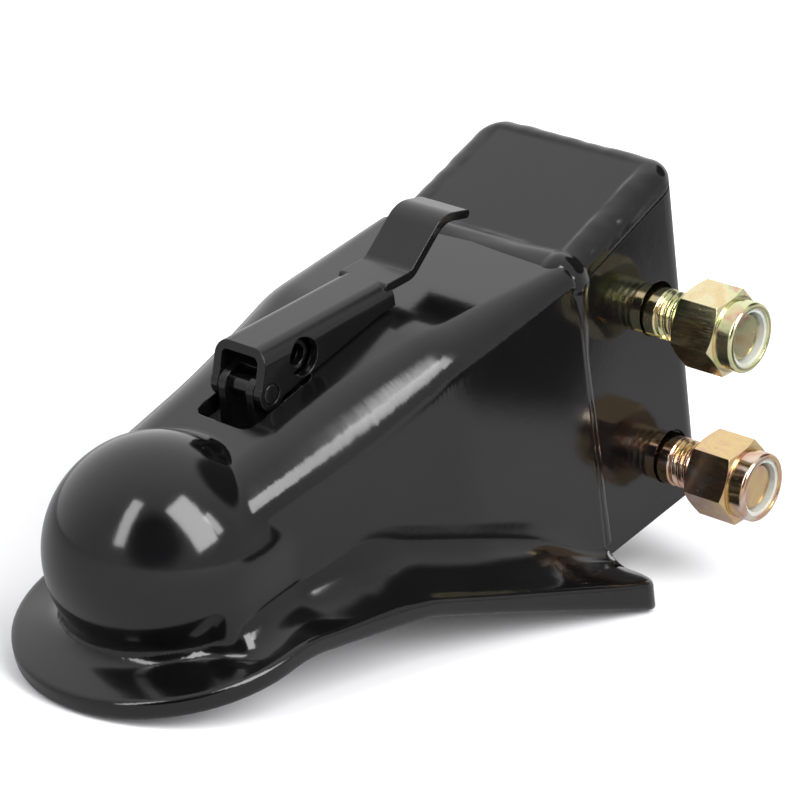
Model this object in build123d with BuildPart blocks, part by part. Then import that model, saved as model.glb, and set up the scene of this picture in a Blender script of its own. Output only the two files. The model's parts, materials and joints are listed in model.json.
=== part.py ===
from build123d import *
from math import atan2, cos, degrees, hypot, radians, sin, tan
import os

os.makedirs("parts", exist_ok=True)

# The nose points to -Y and the bolts run along X. The origin is the centre of the tow ball.

# Tow ball and the pressed plate over it
ball_diameter = 50.8
socket_clearance = 1.5
plate = 6.0
ring_radius = 45.6
ring_top = -19.8
flare_radius = 8.0
crease_radius = 8.4
edge_radius = 1.2

# Pressed head: widens and rises from the dome to a bend, then runs straight to the weld seam
bend_distance = 88.0
seam_distance = 143.5
front_half_width = 19.4
bend_half_width = 38.3
seam_half_width = 38.8
crown_front = 21.6
crown_bend = 31.3
crown_seam = 28.3
body_bend = 60.0
shoulder_radius = 12.0

# Flange: level round the nose, then down to the rear in two bends
wing_start = 9.0
knee_distance = 57.0
front_wing_angle = 17.2
rear_wing_angle = 27.6
wing_bend = 45.0
neck_distance = 36.0
neck_flange = 46.2
bend_flange = 50.4
seam_flange = 59.5
wing_corner_radius = 6.0

# Slot in the crown for the latch
slot_front = 30.0
slot_length = 29.0
slot_half_width = 10.5
slot_corner = 3.5

# Box behind the head: a folded channel and a sloping cap
channel_rear = 198.0
channel_half_width = 36.2
channel_plate = 6.0
channel_bend = 9.0
channel_bottom = -76.0
cap_thickness = 8.0
cap_slope = 13.7
cap_top_front = 27.0
cap_edge_radius = 6.0

# Weld bead round the seam
bead_radius = 3.0
bead_sink = 0.4
bead_corner = 9.0
bead_foot = -70.0

# Mounting bolts, nuts and their nylon rings
hole_inset = 17.3
hole_radius = 8.7
upper_hole_height = -4.9
hole_spacing = 53.2
bolt_radius = 7.9
bolt_chamfer = 1.2
bolt_end = 69.2
head_flats = 23.8
head_height = 10.0
nut_flats = 23.8
nut_start = 50.5
nut_hex_length = 15.0
nut_length = 21.0
collar_radius = 11.0
collar_lip = 1.0
collar_lip_radius = 9.2
ring_wall = 1.8
ring_length = 4.6
thread_clearance = 0.05
hex_chamfer_angle = 25.0

# Folded latch lever
lever_half_width = 9.6
lever_sheet = 2.6
lever_bend = 4.6
lever_front = 42.4
lever_front_height = 43.4
lever_slope = 4.5
lever_leg_rear = 95.3
lever_rest = 0.6
lever_lobe_radius = 4.8
padlock_spot = (56.2, 34.7)
padlock_radius = 5.7
tab_half_width = 9.0
tab_base = 104.5
tab_crest = (120.8, 48.0)
tab_end = (130.6, 44.8)
tab_bend = 5.0
tab_curl = 9.0

# Pin of the lever
lever_pin_spot = (42.0, 30.0)
lever_pin_radius = 3.0
lever_pin_overhang = 0.6
pin_clearance = 0.05
pin_round = 0.5

# Yoke that hangs from the lever pin
yoke_sheet = 2.6
yoke_gap = 0.4
yoke_arm_width = 9.6
yoke_nose_width = 8.8
yoke_web = 2.4
yoke_web_length = 6.4
yoke_web_start = 4.0
shackle_radius = 3.2
yoke_rivet_spot = (38.0, -3.0)
yoke_rivet_radius = 3.2
rivet_head_radius = 4.8
rivet_head_height = 1.6

# Clamp under the ball and its pivot
clamp_gap = 0.6
clamp_thickness = 7.0
clamp_half_width = 13.0
clamp_upper_angle = 14.0
clamp_lower_angle = 50.0
clamp_arm_width = 12.0
lug_gap = 0.3
pivot_spot = (67.0, 5.0)
pivot_boss_radius = 7.5
pivot_radius = 4.0
boss_half_width = 7.8
side_gap = 0.4
tail_spot = (86.0, 1.0)
tail_arm_width = 8.0
tail_radius = 7.0
tail_depth = 6.0

# Bracket, pin and clip that carry the clamp
bracket_sheet = 3.2
bracket_half_length = 8.0
clip_thickness = 1.2
clip_wall = 1.8
clip_opening = 5.0
groove_depth = 0.7
pin_overhang = 1.4
pivot_head_radius = 6.0
pivot_head_height = 2.4

# Spring between the clamp's tail and the crown
spring_radius = 4.8
wire_radius = 0.9
spring_turns = 4.0

# Sizes that follow
socket_radius = ball_diameter / 2 + socket_clearance
dome_radius = socket_radius + plate
far_above = 110.0
overcut = 4.0
hole_distance = channel_rear - hole_inset
lower_hole_height = upper_hole_height - hole_spacing
bolt_drop = hole_radius - bolt_radius
lever_inner = lever_half_width - lever_sheet
yoke_outer = lever_inner - yoke_gap
yoke_inner = yoke_outer - yoke_sheet
lug_half_width = yoke_inner - lug_gap
bracket_inner = boss_half_width + side_gap
bracket_outer = bracket_inner + bracket_sheet


def blend(y, front, middle, rear):
    if y < bend_distance:
        return front + (middle - front) * y / bend_distance
    return middle + (rear - middle) * (y - bend_distance) / (seam_distance - bend_distance)


def body_half_width(y):
    return blend(y, front_half_width, bend_half_width, seam_half_width)


def crown(y):
    return blend(y, crown_front, crown_bend, crown_seam)


def lever_top(y):
    return lever_front_height - (y - lever_front) * tan(radians(lever_slope))


def miter(corner, before, after, depth):
    middle = radians((before + after) / 2)
    reach = depth / cos(radians((after - before) / 2))
    return corner[0] - reach * sin(middle), corner[1] - reach * cos(middle)


# Side view of the flange
knee_height = ring_top - (knee_distance - wing_start) * tan(radians(front_wing_angle))
wing_end = seam_distance + overcut
wing_end_height = knee_height - (wing_end - knee_distance) * tan(radians(rear_wing_angle))


def wing_line(depth):
    return [
        (-2 * ring_radius, ring_top - depth),
        miter((wing_start, ring_top), 0, front_wing_angle, depth),
        miter((knee_distance, knee_height), front_wing_angle, rear_wing_angle, depth),
        miter((wing_end, wing_end_height), rear_wing_angle, rear_wing_angle, depth),
    ]


def above_wing(depth):
    line = wing_line(depth)
    with BuildSketch(Plane.YZ) as region:
        with BuildLine():
            FilletPolyline(*line, radius=wing_bend - depth)
            Polyline(line[-1], (line[-1][0], far_above), (line[0][0], far_above), line[0])
        make_face()
    return region.sketch


def wing_height(y):
    front_run = min(max(y - wing_start, 0), knee_distance - wing_start)
    rear_run = max(y - knee_distance, 0)
    return ring_top - front_run * tan(radians(front_wing_angle)) - rear_run * tan(radians(rear_wing_angle))


def head_form(depth, rear):
    with BuildPart() as form:
        with BuildSketch(Plane.XY.offset(-far_above)):
            with BuildLine():
                for side in (1, -1):
                    FilletPolyline(
                        (side * (body_half_width(0) - depth), 0),
                        (side * (bend_half_width - depth), bend_distance),
                        (side * (body_half_width(rear) - depth), rear),
                        radius=body_bend - depth,
                    )
                Line((front_half_width - depth, 0), (depth - front_half_width, 0))
                Line((body_half_width(rear) - depth, rear), (depth - body_half_width(rear), rear))
            make_face()
        extrude(amount=2 * far_above)
        with BuildSketch(Plane.YZ):
            with BuildLine():
                FilletPolyline(
                    (-overcut, crown(-overcut) - depth),
                    (bend_distance, crown_bend - depth),
                    (rear + overcut, crown(rear + overcut) - depth),
                    radius=body_bend - depth,
                )
                Polyline(
                    (rear + overcut, crown(rear + overcut) - depth),
                    (rear + overcut, -far_above),
                    (-overcut, -far_above),
                    (-overcut, crown(-overcut) - depth),
                )
            make_face()
        extrude(amount=2 * ring_radius, both=True, mode=Mode.INTERSECT)

        def on_shoulder(edge):
            middle = edge @ 0.5
            off_side = abs(abs(middle.X) - body_half_width(middle.Y) + depth)
            return off_side < 0.6 and abs(middle.Z - crown(middle.Y) + depth) < 0.6

        fillet(form.edges().filter_by(on_shoulder), shoulder_radius - depth)
        with BuildSketch(Plane.XY.offset(-far_above)):
            Circle(dome_radius - depth)
        extrude(amount=far_above)
        Sphere(dome_radius - depth, arc_size1=0, align=(Align.CENTER, Align.CENTER, Align.MIN))
    return form.part


def flange_form():
    with BuildPart() as flange:
        with BuildSketch(Plane.XY.offset(-far_above)) as rim:
            with BuildLine():
                ThreePointArc((ring_radius, 0), (0, -ring_radius), (-ring_radius, 0))
                for side in (1, -1):
                    Spline(
                        (side * ring_radius, 0),
                        (side * neck_flange, neck_distance),
                        (side * bend_flange, bend_distance),
                        (side * seam_flange, seam_distance),
                        tangents=[(0, 1), (side * (seam_flange - bend_flange), seam_distance - bend_distance)],
                    )
                Line((-seam_flange, seam_distance), (seam_flange, seam_distance))
            make_face()
            fillet(rim.vertices().group_by(Axis.Y)[-1], wing_corner_radius)
        extrude(amount=2 * far_above)
        extrude(above_wing(plate), amount=2 * ring_radius, both=True, mode=Mode.INTERSECT)
        extrude(above_wing(0), amount=2 * ring_radius, both=True, mode=Mode.SUBTRACT)
    return flange.part


def on_dome(edge):
    middle = edge @ 0.5
    reach = Vector(middle.X, middle.Y, max(middle.Z, 0)).length
    return abs(reach - dome_radius) < 0.01 and abs(middle.Z) > 0.01 and middle.Y > 0


def at_foot(edge):
    middle = edge @ 0.5
    inside = Vector(middle.X, min(middle.Y, 0)).length < body_half_width(max(middle.Y, 0)) + plate
    inside = inside or Vector(middle.X, middle.Y).length < dome_radius + plate
    return inside and abs(middle.Z - wing_height(middle.Y)) < plate / 2


def on_rim(edge):
    middle = edge @ 0.5
    reach = Vector(middle.X, min(middle.Y, 0)).length
    if middle.Y > seam_distance - overcut or abs((edge % 0.5).Z) > cos(radians(rear_wing_angle)):
        return False
    return reach > max(body_half_width(middle.Y) + flare_radius + plate / 2, ring_radius - plate / 2)


# Pressed coupler head
with BuildPart() as coupler_shell:
    add(head_form(0, seam_distance))
    fillet(coupler_shell.edges().filter_by(on_dome), crease_radius)
    extrude(above_wing(plate), amount=2 * ring_radius, both=True, mode=Mode.INTERSECT)
    add(flange_form())
    foot = coupler_shell.edges().filter_by(at_foot).filter_by(Axis.X, reverse=True)
    fillet(foot, flare_radius)
    add(head_form(plate, seam_distance + overcut), mode=Mode.SUBTRACT)
    with BuildSketch(Plane.XY.offset(far_above)):
        with Locations((0, slot_front + slot_length / 2)):
            RectangleRounded(2 * slot_half_width, slot_length, slot_corner)
    extrude(amount=-far_above, mode=Mode.SUBTRACT)
    fillet(coupler_shell.edges().filter_by(on_rim), edge_radius)
coupler_shell.part.label = "coupler_shell"
export_step(coupler_shell.part, "parts/coupler_shell.step")


def channel_outline(depth, front):
    half_width = channel_half_width - depth
    rear = channel_rear - depth
    with BuildSketch() as outline:
        with BuildLine():
            FilletPolyline(
                (half_width, front),
                (half_width, rear),
                (-half_width, rear),
                (-half_width, front),
                radius=channel_bend - depth,
            )
            Line((-half_width, front), (half_width, front))
        make_face()
    return outline.sketch


def cap_plane(depth):
    slope = radians(cap_slope)
    return Plane(
        origin=(0, seam_distance, cap_top_front - depth / cos(slope)),
        x_dir=(1, 0, 0),
        z_dir=(0, -sin(slope), cos(slope)),
    )


# Folded channel behind the head
with BuildPart() as mount_channel:
    extrude(channel_outline(0, seam_distance), amount=far_above)
    extrude(channel_outline(0, seam_distance), amount=channel_bottom)
    cavity = channel_outline(channel_plate, seam_distance - overcut)
    extrude(cavity, amount=far_above, both=True, mode=Mode.SUBTRACT)
    split(bisect_by=cap_plane(cap_thickness), keep=Keep.BOTTOM)
    with BuildSketch(Plane.YZ):
        with Locations((hole_distance, upper_hole_height), (hole_distance, lower_hole_height)):
            Circle(hole_radius)
    extrude(amount=2 * channel_half_width, both=True, mode=Mode.SUBTRACT)
mount_channel.part.label = "mount_channel"
export_step(mount_channel.part, "parts/mount_channel.step")

# Sloping cap that closes the channel
with BuildPart() as channel_cap:
    extrude(channel_outline(0, seam_distance), amount=far_above)
    split(bisect_by=cap_plane(cap_thickness), keep=Keep.TOP)
    split(bisect_by=cap_plane(0), keep=Keep.BOTTOM)
    cap_face = channel_cap.faces().sort_by(SortBy.AREA)[-2:].sort_by(Axis.Z)[-1]
    cap_front = cap_face.edges().sort_by(Axis.Y)[0]
    fillet([edge for edge in cap_face.edges() if edge != cap_front], cap_edge_radius)
channel_cap.part.label = "channel_cap"
export_step(channel_cap.part, "parts/channel_cap.step")

# Weld bead between the head and the box
bead_side = channel_half_width + bead_sink
bead_top = cap_top_front + bead_sink
with BuildPart() as shell_weld:
    with BuildLine(Plane.XZ.offset(-seam_distance - bead_sink)) as bead_path:
        FilletPolyline(
            (bead_side, bead_foot),
            (bead_side, bead_top),
            (-bead_side, bead_top),
            (-bead_side, bead_foot),
            radius=bead_corner,
        )
    with BuildSketch(bead_path.line ^ 0):
        Circle(bead_radius)
    sweep()
    add(coupler_shell.part, mode=Mode.SUBTRACT)
    add(mount_channel.part, mode=Mode.SUBTRACT)
    add(channel_cap.part, mode=Mode.SUBTRACT)
shell_weld.part.label = "shell_weld"
export_step(shell_weld.part, "parts/shell_weld.step")


def bolt_line(height, start):
    origin = (start, hole_distance, height - bolt_drop)
    return Plane(origin=origin, x_dir=(0, 1, 0), z_dir=(1, 0, 0))


def hex_cone(flats, length, both_ends):
    corner = flats / 2 / cos(radians(30))
    fall = (corner - flats / 2) * tan(radians(hex_chamfer_angle))
    low_end = [(flats / 2, 0), (corner, fall)] if both_ends else [(corner, 0)]
    with BuildPart() as cone:
        with BuildSketch(Plane.XZ):
            with BuildLine():
                Polyline((0, 0), *low_end, (corner, length - fall), (flats / 2, length), (0, length), close=True)
            make_face()
        revolve(axis=Axis.Z)
    return cone.part


def bolt_form():
    with BuildPart() as bolt:
        with BuildSketch():
            RegularPolygon(head_flats / 2, 6, major_radius=False)
        extrude(amount=head_height)
        add(hex_cone(head_flats, head_height, False), mode=Mode.INTERSECT)
        with BuildSketch():
            Circle(bolt_radius)
        extrude(amount=-channel_half_width - bolt_end)
        chamfer(bolt.edges().sort_by(Axis.Z)[0], bolt_chamfer)
    return bolt.part


def nut_form():
    with BuildPart() as nut:
        with BuildSketch():
            RegularPolygon(nut_flats / 2, 6, major_radius=False)
        extrude(amount=nut_hex_length)
        add(hex_cone(nut_flats, nut_hex_length, True), mode=Mode.INTERSECT)
        with BuildSketch():
            Circle(collar_radius)
        extrude(amount=nut_length)
        fillet(nut.edges().sort_by(Axis.Z)[-1], collar_radius - collar_lip_radius - edge_radius / 2)
        with BuildSketch():
            Circle(bolt_radius + thread_clearance)
        extrude(amount=nut_length, mode=Mode.SUBTRACT)
        with BuildSketch(Plane.XY.offset(nut_length - collar_lip - ring_length)):
            Circle(bolt_radius + thread_clearance + ring_wall)
        extrude(amount=ring_length, mode=Mode.SUBTRACT)
        with BuildSketch(Plane.XY.offset(nut_length - collar_lip)):
            Circle(collar_lip_radius)
        extrude(amount=collar_lip, mode=Mode.SUBTRACT)
    return nut.part


def ring_form():
    with BuildPart() as ring:
        with BuildSketch(Plane.XY.offset(nut_length - collar_lip - ring_length)):
            Circle(bolt_radius + thread_clearance + ring_wall)
            Circle(bolt_radius + thread_clearance, mode=Mode.SUBTRACT)
        extrude(amount=ring_length)
    return ring.part


def head_side(height):
    origin = (-channel_half_width, hole_distance, height - bolt_drop)
    return Plane(origin=origin, x_dir=(0, 1, 0), z_dir=(-1, 0, 0))


# Mounting bolts, nuts and rings
with BuildPart() as upper_bolt:
    with Locations(head_side(upper_hole_height)):
        add(bolt_form())
upper_bolt.part.label = "upper_bolt"
export_step(upper_bolt.part, "parts/upper_bolt.step")

with BuildPart() as lower_bolt:
    with Locations(head_side(lower_hole_height)):
        add(bolt_form())
lower_bolt.part.label = "lower_bolt"
export_step(lower_bolt.part, "parts/lower_bolt.step")

with BuildPart() as upper_nut:
    with Locations(bolt_line(upper_hole_height, nut_start)):
        add(nut_form())
upper_nut.part.label = "upper_nut"
export_step(upper_nut.part, "parts/upper_nut.step")

with BuildPart() as lower_nut:
    with Locations(bolt_line(lower_hole_height, nut_start)):
        add(nut_form())
lower_nut.part.label = "lower_nut"
export_step(lower_nut.part, "parts/lower_nut.step")

with BuildPart() as upper_nut_ring:
    with Locations(bolt_line(upper_hole_height, nut_start)):
        add(ring_form())
upper_nut_ring.part.label = "upper_nut_ring"
export_step(upper_nut_ring.part, "parts/upper_nut_ring.step")

with BuildPart() as lower_nut_ring:
    with Locations(bolt_line(lower_hole_height, nut_start)):
        add(ring_form())
lower_nut_ring.part.label = "lower_nut_ring"
export_step(lower_nut_ring.part, "parts/lower_nut_ring.step")


def ribbon(points, bends, thickness):
    with BuildSketch(Plane.YZ) as band:
        with BuildLine():
            FilletPolyline(*points, radius=bends)
            offset(amount=thickness / 2, side=Side.BOTH)
        make_face()
    return band.sketch


def strip(start, end, width):
    run = (end[0] - start[0], end[1] - start[1])
    with BuildSketch(Plane.YZ) as band:
        with Locations(((start[0] + end[0]) / 2, (start[1] + end[1]) / 2)):
            SlotCenterToCenter(hypot(*run), width, rotation=degrees(atan2(run[1], run[0])))
    return band.sketch


def disc(spot, radius):
    with BuildSketch(Plane.YZ) as circle:
        with Locations(spot):
            Circle(radius)
    return circle.sketch


def lever_core():
    with BuildPart() as core:
        with BuildSketch(Plane.YZ):
            with BuildLine():
                Polyline(
                    (0, lever_top(0) - lever_sheet),
                    (seam_distance, lever_top(seam_distance) - lever_sheet),
                    (seam_distance, 0),
                    (0, 0),
                    close=True,
                )
            make_face()
        extrude(amount=lever_inner, both=True)
        core_top = core.faces().sort_by(Axis.Z)[-1]
        fillet(core_top.edges().filter_by(Axis.X, reverse=True), lever_bend - lever_sheet)
    return core.part


# Folded latch lever with a curled finger tab
lobe_rear = lever_pin_spot[0] + lever_lobe_radius
with BuildPart() as latch_lever:
    with BuildSketch(Plane.YZ):
        with BuildLine():
            Polyline(
                (lever_front, lever_top(lever_front)),
                (lever_leg_rear, lever_top(lever_leg_rear)),
                (lever_leg_rear, crown_bend + lever_rest),
                (bend_distance, crown_bend + lever_rest),
                (lobe_rear, crown(lobe_rear) + lever_rest),
                (lever_pin_spot[0], lever_pin_spot[1] - lever_lobe_radius),
                (lever_pin_spot[0] - lever_lobe_radius, lever_pin_spot[1]),
                close=True,
            )
        make_face()
        with Locations(lever_pin_spot):
            Circle(lever_lobe_radius)
    extrude(amount=lever_half_width, both=True)
    lever_skin = latch_lever.faces().sort_by(Axis.Z)[-1]
    fillet(lever_skin.edges().filter_by(Axis.X, reverse=True), lever_bend)
    add(lever_core(), mode=Mode.SUBTRACT)
    half_sheet = lever_sheet / 2
    tab_line = [
        (lever_leg_rear - half_sheet, lever_top(lever_leg_rear - half_sheet) - half_sheet),
        (tab_base, lever_top(tab_base) - half_sheet),
        tab_crest,
        tab_end,
    ]
    extrude(ribbon(tab_line, [tab_bend, tab_curl], lever_sheet), amount=tab_half_width, both=True)
    extrude(disc(lever_pin_spot, lever_pin_radius + pin_clearance), amount=far_above, both=True, mode=Mode.SUBTRACT)
    extrude(disc(padlock_spot, padlock_radius), amount=far_above, both=True, mode=Mode.SUBTRACT)
latch_lever.part.label = "latch_lever"
export_step(latch_lever.part, "parts/latch_lever.step")

# Pin of the lever
with BuildPart() as lever_pin:
    extrude(disc(lever_pin_spot, lever_pin_radius), amount=lever_half_width + lever_pin_overhang, both=True)
    fillet(lever_pin.edges().filter_by(GeomType.CIRCLE), pin_round)
lever_pin.part.label = "lever_pin"
export_step(lever_pin.part, "parts/lever_pin.step")

# Yoke between the lever and the clamp
nose_run = (padlock_spot[0] - lever_pin_spot[0], padlock_spot[1] - lever_pin_spot[1])
nose_angle = atan2(nose_run[1], nose_run[0])
web_along = yoke_web_start + yoke_web_length / 2
web_aside = (yoke_nose_width - yoke_web) / 2 - lug_gap
web_spot = (
    lever_pin_spot[0] + web_along * cos(nose_angle) - web_aside * sin(nose_angle),
    lever_pin_spot[1] + web_along * sin(nose_angle) + web_aside * cos(nose_angle),
)
with BuildPart() as latch_yoke:
    extrude(strip(yoke_rivet_spot, lever_pin_spot, yoke_arm_width), amount=yoke_outer, both=True)
    extrude(strip(lever_pin_spot, padlock_spot, yoke_nose_width), amount=yoke_outer, both=True)
    with BuildSketch(Plane.XY.offset(-far_above)):
        Rectangle(2 * yoke_inner, 2 * far_above)
    extrude(amount=2 * far_above, mode=Mode.SUBTRACT)
    with BuildSketch(Plane.YZ):
        with Locations(web_spot):
            Rectangle(yoke_web_length, yoke_web, rotation=degrees(nose_angle))
    extrude(amount=yoke_inner, both=True)
    extrude(disc(lever_pin_spot, lever_pin_radius), amount=far_above, both=True, mode=Mode.SUBTRACT)
    extrude(disc(yoke_rivet_spot, yoke_rivet_radius), amount=far_above, both=True, mode=Mode.SUBTRACT)
    extrude(disc(padlock_spot, shackle_radius), amount=far_above, both=True, mode=Mode.SUBTRACT)
latch_yoke.part.label = "latch_yoke"
export_step(latch_yoke.part, "parts/latch_yoke.step")

# Rivet that joins the yoke to the clamp
with BuildPart() as yoke_rivet:
    extrude(disc(yoke_rivet_spot, rivet_head_radius), amount=yoke_outer + rivet_head_height, both=True)
    fillet(yoke_rivet.edges().filter_by(GeomType.CIRCLE), rivet_head_height / 2)
    with BuildSketch(Plane.YZ):
        with Locations(yoke_rivet_spot):
            Circle(2 * rivet_head_radius)
            Circle(yoke_rivet_radius, mode=Mode.SUBTRACT)
    extrude(amount=yoke_outer, both=True, mode=Mode.SUBTRACT)
yoke_rivet.part.label = "yoke_rivet"
export_step(yoke_rivet.part, "parts/yoke_rivet.step")

# Clamp that closes under the ball
clamp_inner = ball_diameter / 2 + clamp_gap
clamp_outer = clamp_inner + clamp_thickness


def ball_point(radius, angle):
    return radius * cos(radians(angle)), -radius * sin(radians(angle))


clamp_middle = ball_point(clamp_inner + clamp_thickness / 2, (clamp_upper_angle + clamp_lower_angle) / 2)
with BuildPart() as ball_clamp:
    with BuildSketch(Plane.YZ):
        Circle(clamp_outer)
        with BuildLine():
            Polyline(
                (0, 0),
                ball_point(2 * clamp_outer, clamp_upper_angle),
                ball_point(2 * clamp_outer, clamp_lower_angle),
                close=True,
            )
        make_face(mode=Mode.INTERSECT)
    extrude(amount=clamp_half_width, both=True)
    extrude(strip(clamp_middle, pivot_spot, clamp_arm_width), amount=lug_half_width, both=True)
    extrude(strip(yoke_rivet_spot, pivot_spot, clamp_arm_width), amount=lug_half_width, both=True)
    extrude(strip(pivot_spot, tail_spot, tail_arm_width), amount=lug_half_width, both=True)
    extrude(disc(pivot_spot, pivot_boss_radius), amount=boss_half_width, both=True)
    with BuildSketch(Plane.XY.offset(tail_spot[1] - tail_depth / 2)):
        with Locations((0, tail_spot[0])):
            Circle(tail_radius)
    extrude(amount=tail_depth)
    Sphere(clamp_inner, mode=Mode.SUBTRACT)
    extrude(disc(pivot_spot, pivot_radius + pin_clearance), amount=far_above, both=True, mode=Mode.SUBTRACT)
    extrude(disc(yoke_rivet_spot, yoke_rivet_radius), amount=far_above, both=True, mode=Mode.SUBTRACT)
ball_clamp.part.label = "ball_clamp"
export_step(ball_clamp.part, "parts/ball_clamp.step")

# Bracket under the crown that carries the clamp
bracket_front = pivot_spot[0] - bracket_half_length
bracket_rear = pivot_spot[0] + bracket_half_length


def bracket_region(front, rear, depth):
    with BuildSketch(Plane.YZ) as region:
        with BuildLine():
            Polyline(
                (front, crown(front) - plate - depth),
                (rear, crown(rear) - plate - depth),
                (rear, pivot_spot[1]),
                (front, pivot_spot[1]),
                close=True,
            )
        make_face()
        with Locations(pivot_spot):
            Circle(bracket_half_length)
    return region.sketch


with BuildPart() as pivot_bracket:
    extrude(bracket_region(bracket_front, bracket_rear, 0), amount=bracket_outer, both=True)
    under_sheet = bracket_region(bracket_front - overcut, bracket_rear + overcut, bracket_sheet)
    extrude(under_sheet, amount=bracket_inner, both=True, mode=Mode.SUBTRACT)
    extrude(disc(pivot_spot, pivot_radius), amount=far_above, both=True, mode=Mode.SUBTRACT)
pivot_bracket.part.label = "pivot_bracket"
export_step(pivot_bracket.part, "parts/pivot_bracket.step")

# Pin of the clamp, with a head at one end and a groove for a clip at the other
pivot_start = Plane(origin=(-bracket_outer, *pivot_spot), x_dir=(0, 1, 0), z_dir=(1, 0, 0))
with BuildPart() as clamp_pin:
    with BuildSketch(pivot_start):
        Circle(pivot_head_radius)
    extrude(amount=-pivot_head_height)
    with BuildSketch(pivot_start):
        Circle(pivot_radius)
    extrude(amount=2 * bracket_outer + clip_thickness + pin_overhang)
    with BuildSketch(pivot_start.offset(2 * bracket_outer)):
        Circle(pivot_radius)
        Circle(pivot_radius - groove_depth, mode=Mode.SUBTRACT)
    extrude(amount=clip_thickness, mode=Mode.SUBTRACT)
clamp_pin.part.label = "clamp_pin"
export_step(clamp_pin.part, "parts/clamp_pin.step")

with BuildPart() as clamp_pin_ring:
    with BuildSketch(pivot_start.offset(2 * bracket_outer)):
        Circle(pivot_radius + clip_wall)
        Circle(pivot_radius - groove_depth, mode=Mode.SUBTRACT)
        with Locations((0, -pivot_radius)):
            Rectangle(clip_opening, 2 * pivot_radius, mode=Mode.SUBTRACT)
    extrude(amount=clip_thickness)
clamp_pin_ring.part.label = "clamp_pin_ring"
export_step(clamp_pin_ring.part, "parts/clamp_pin_ring.step")

# Spring between the clamp's tail and the crown
spring_seat = tail_spot[1] + tail_depth / 2 + wire_radius
spring_height = crown(tail_spot[0] - spring_radius) - plate - wire_radius - spring_seat
with BuildPart() as clamp_spring:
    with BuildLine(Plane(origin=(0, tail_spot[0], spring_seat))) as coil:
        Helix(spring_height / spring_turns, spring_height, spring_radius)
    with BuildSketch(coil.line ^ 0):
        Circle(wire_radius)
    sweep(is_frenet=True)
clamp_spring.part.label = "clamp_spring"
export_step(clamp_spring.part, "parts/clamp_spring.step")
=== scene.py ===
import json
import math

import bmesh
import bpy
import numpy as np
from mathutils import Matrix, Vector, noise


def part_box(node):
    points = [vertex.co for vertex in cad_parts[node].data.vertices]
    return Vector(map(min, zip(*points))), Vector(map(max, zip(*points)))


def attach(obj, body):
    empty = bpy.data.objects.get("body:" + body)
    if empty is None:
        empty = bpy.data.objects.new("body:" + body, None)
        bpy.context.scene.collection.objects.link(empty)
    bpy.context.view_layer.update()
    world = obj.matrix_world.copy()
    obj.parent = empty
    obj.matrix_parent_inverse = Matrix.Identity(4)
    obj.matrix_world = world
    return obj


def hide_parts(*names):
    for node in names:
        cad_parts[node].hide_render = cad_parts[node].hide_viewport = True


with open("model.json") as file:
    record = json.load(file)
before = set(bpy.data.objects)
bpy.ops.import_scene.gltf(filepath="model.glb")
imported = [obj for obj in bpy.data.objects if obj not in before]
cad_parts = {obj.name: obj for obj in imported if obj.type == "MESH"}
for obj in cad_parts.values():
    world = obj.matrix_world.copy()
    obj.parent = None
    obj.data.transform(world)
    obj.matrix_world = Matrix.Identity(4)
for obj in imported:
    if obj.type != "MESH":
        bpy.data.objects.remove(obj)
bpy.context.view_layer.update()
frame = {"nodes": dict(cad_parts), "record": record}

for startup in ("Cube", "Light", "Camera"):
    if startup in bpy.data.objects and startup not in frame["nodes"]:
        bpy.data.objects.remove(bpy.data.objects[startup])
scene = bpy.context.scene
scene.view_settings.view_transform = "Standard"
mm = 0.001


def heading(azimuth, elevation):
    # azimuth 0 looks along -Y, 90 along +X
    turn, lift = math.radians(azimuth), math.radians(elevation)
    flat = math.cos(lift)
    return Vector((math.sin(turn) * flat, -math.cos(turn) * flat, math.sin(lift)))


cameraSet = {
    "place": (0.570018, -0.473271, 0.466283),
    "azimuth": 44.77,
    "elevation": 30.27,
    "roll": -8.09,
    "focalPixels": 3152.25,
    "imagePixels": 800,
    "sensor": 36.0,
    "clipStart": 0.01,
}


def addCamera():
    back = heading(cameraSet["azimuth"], cameraSet["elevation"])
    level = Vector((0, 0, 1)).cross(back).normalized()
    rise = back.cross(level)
    roll = math.radians(cameraSet["roll"])
    right = math.cos(roll) * level + math.sin(roll) * rise
    up = back.cross(right)
    lens = bpy.data.cameras.new("photoCamera")
    lens.sensor_width = cameraSet["sensor"]
    lens.lens = (
        cameraSet["focalPixels"] * cameraSet["sensor"] / cameraSet["imagePixels"]
    )
    lens.clip_start = cameraSet["clipStart"]
    camera = bpy.data.objects.new("photoCamera", lens)
    turn = Matrix((right, up, back)).transposed().to_4x4()
    camera.matrix_world = Matrix.Translation(cameraSet["place"]) @ turn
    scene.collection.objects.link(camera)
    scene.camera = camera


addCamera()
print("camera set")


class Wire:
    # a shader socket that can stand in a sum
    def __init__(self, tree, socket):
        self.tree = tree
        self.socket = socket

    def sum(self, operation, first, second):
        return self.tree.node("ShaderNodeMath", {"operation": operation}, {0: first, 1: second})

    def __add__(self, other):
        return self.sum("ADD", self, other)

    def __radd__(self, other):
        return self.sum("ADD", other, self)

    def __sub__(self, other):
        return self.sum("SUBTRACT", self, other)

    def __rsub__(self, other):
        return self.sum("SUBTRACT", other, self)

    def __mul__(self, other):
        return self.sum("MULTIPLY", self, other)

    def __rmul__(self, other):
        return self.sum("MULTIPLY", other, self)


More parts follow.
